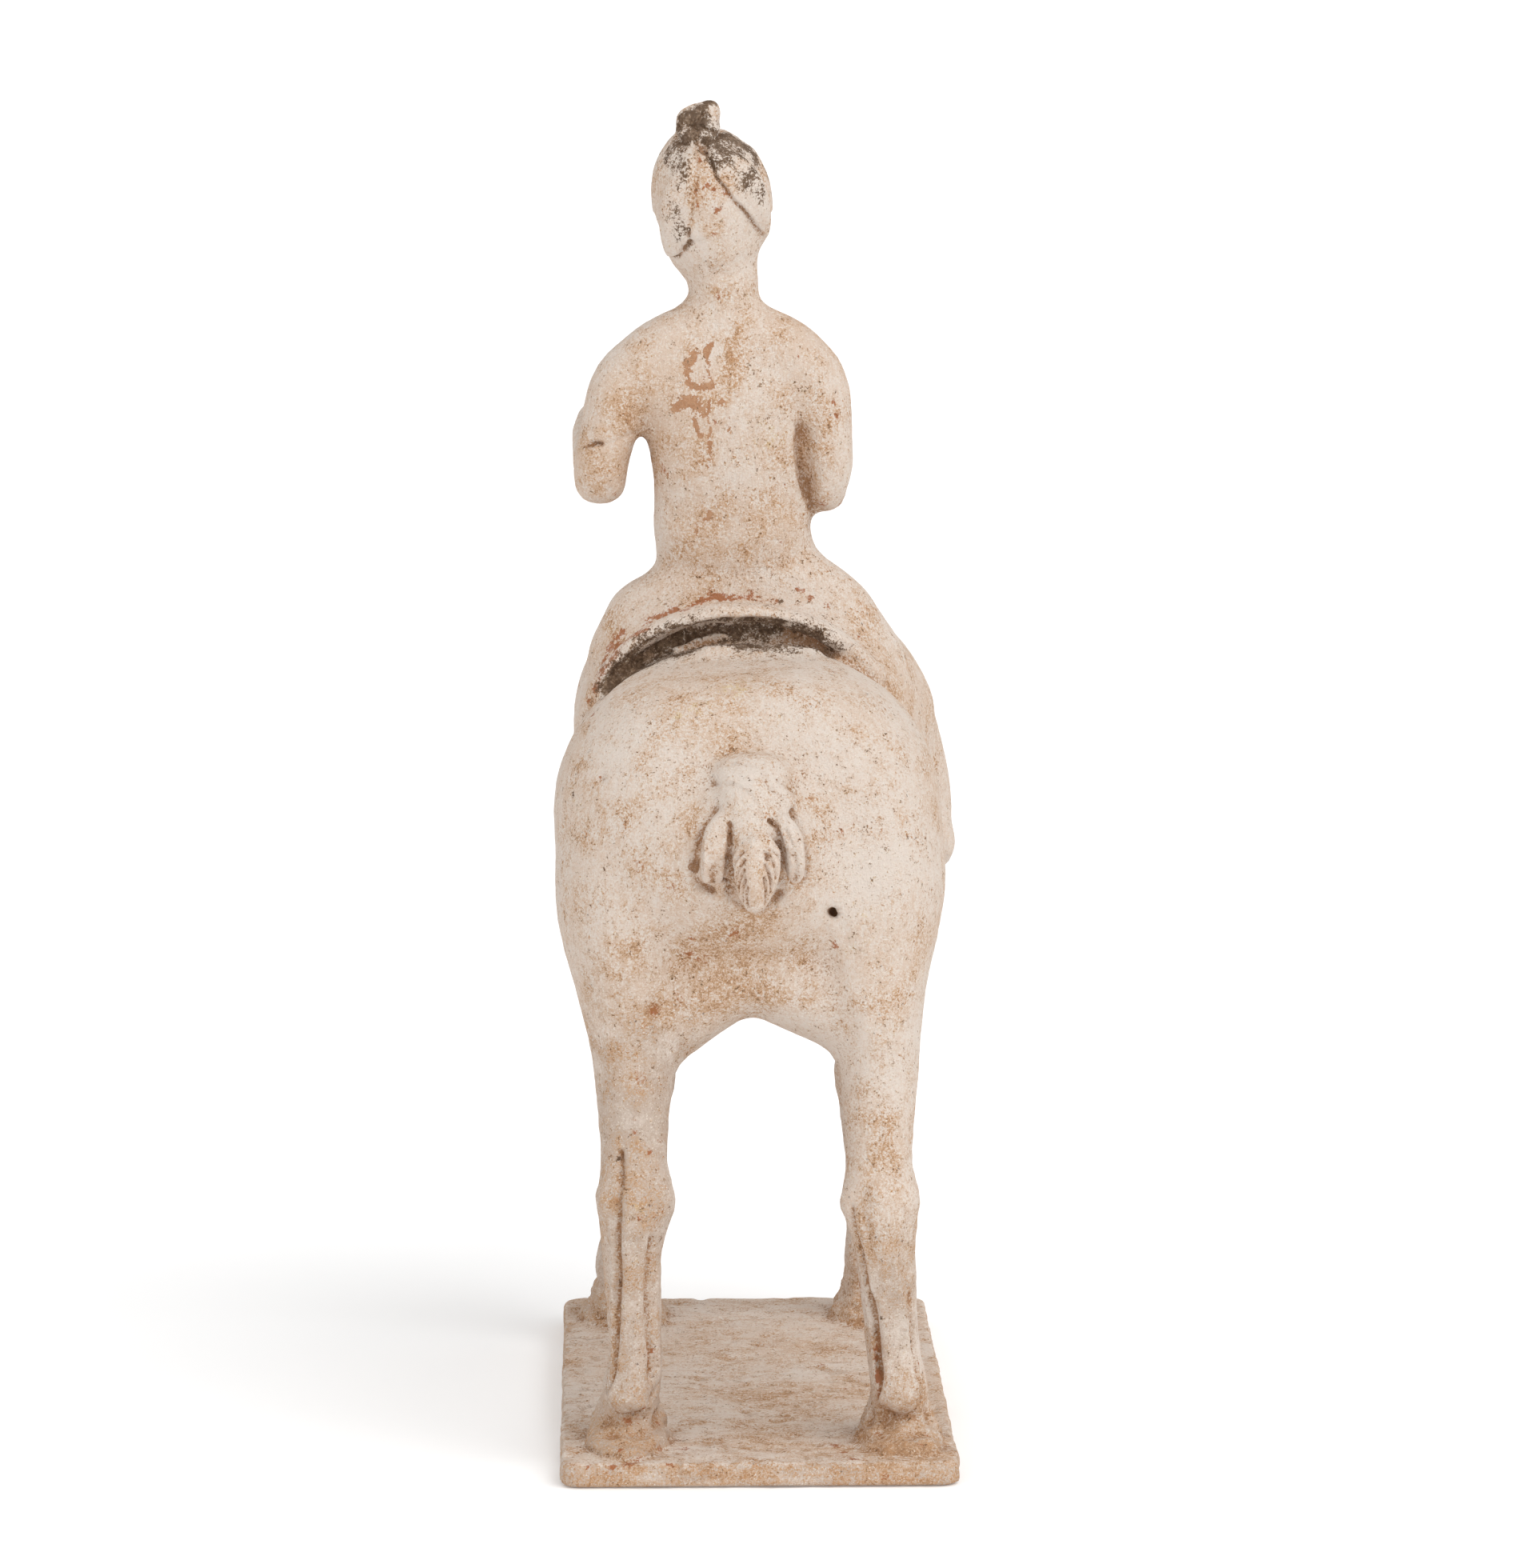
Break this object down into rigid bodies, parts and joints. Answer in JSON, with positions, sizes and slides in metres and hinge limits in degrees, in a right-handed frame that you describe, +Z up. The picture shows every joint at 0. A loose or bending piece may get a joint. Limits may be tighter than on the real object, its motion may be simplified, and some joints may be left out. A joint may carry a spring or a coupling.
{
  "type": "horse and rider figure",
  "caption": "Standing fired-clay horse on a thin slab with a seated rider, hair in a topknot, arms bent forward, docked tail bound in loops.",
  "frame": {"origin": "middle of the slab's flat underside", "axes": "+Z up out of the slab, +Y the way the horse faces, +X to the rider's right"},
  "size_m": [0.1313, 0.2878, 0.4287],
  "materials": {
    "fired_clay": "unglazed, matt, worn white slip with rust-brown earth stains and traces of dark grey pigment"
  },
  "bodies": {
    "root": {"horse_and_rider": "fired_clay"}
  },
  "joints": []
}
